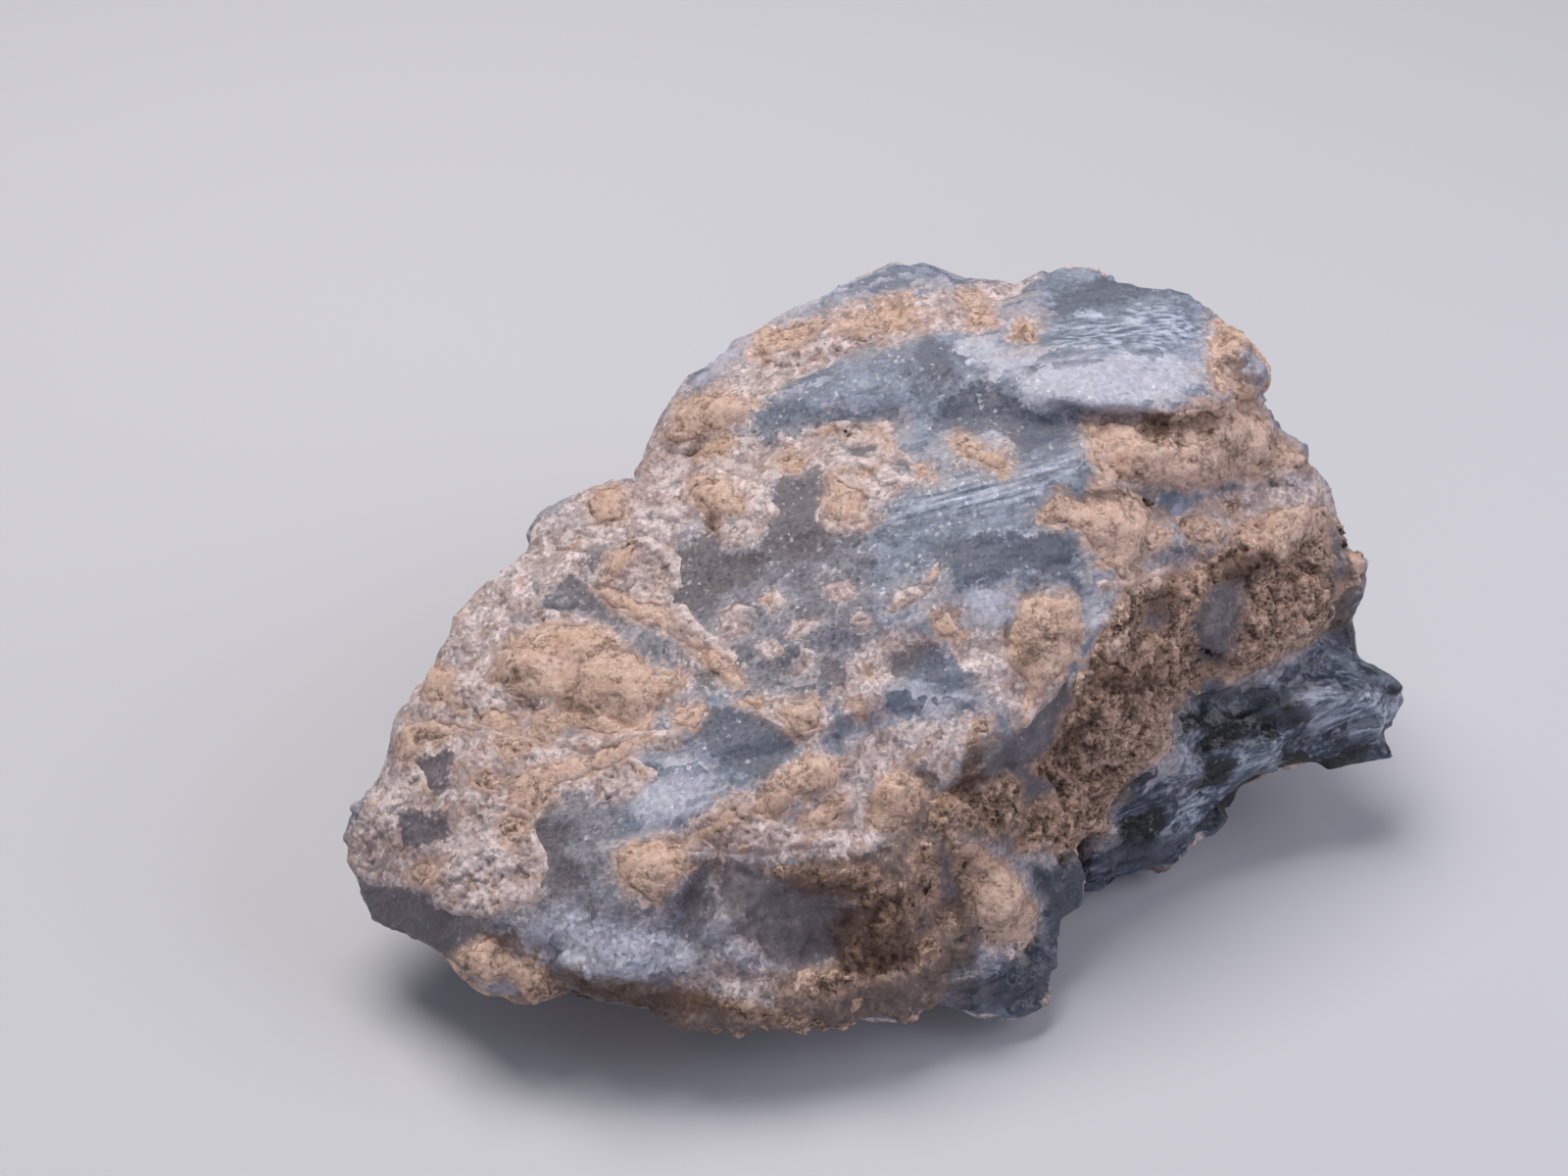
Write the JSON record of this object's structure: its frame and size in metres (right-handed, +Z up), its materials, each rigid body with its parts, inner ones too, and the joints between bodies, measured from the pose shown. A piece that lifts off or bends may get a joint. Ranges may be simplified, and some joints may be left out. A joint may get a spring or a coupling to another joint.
{
  "type": "baryte specimen",
  "caption": "Hand specimen of coarse blue-grey baryte, a cleaved wedge-shaped mass with tan earthy matrix set in its hollows, resting on a flat cleavage face.",
  "frame": {"origin": "middle of the bounding box at the bottom, on the flat cleavage face that the stone rests on", "axes": "+X along the stone's length, from the thin tapered end to the end with the two blades; +Z up as it stands; +Y from the low front to the high back"},
  "size_m": [0.084, 0.0604, 0.0403],
  "materials": {
    "baryte": "stone, not window glass: pearly to vitreous on cleavage faces, frosted and cloudy blue-grey with darker translucent zones, cream crust in places",
    "earthy_matrix": "dull, crumbly tan clay and limonite earth"
  },
  "bodies": {
    "root": {"baryte": "baryte", "matrix_under_crown": "earthy_matrix", "matrix_shoulder": "earthy_matrix", "matrix_right_rim": "earthy_matrix", "matrix_flank": "earthy_matrix", "matrix_mid_flank": "earthy_matrix", "matrix_low_flank": "earthy_matrix", "matrix_flank_foot": "earthy_matrix", "matrix_fin": "earthy_matrix", "matrix_lip": "earthy_matrix", "matrix_ridge": "earthy_matrix", "matrix_front_knob": "earthy_matrix", "matrix_corner_knob": "earthy_matrix", "matrix_front_band": "earthy_matrix", "matrix_left_field": "earthy_matrix", "matrix_pit": "earthy_matrix", "matrix_left_rim": "earthy_matrix", "matrix_back_rim": "earthy_matrix", "matrix_right_knob": "earthy_matrix", "matrix_right_tip": "earthy_matrix", "matrix_back": "earthy_matrix", "matrix_left_back": "earthy_matrix", "matrix_right_back": "earthy_matrix", "matrix_underside": "earthy_matrix"}
  },
  "joints": []
}
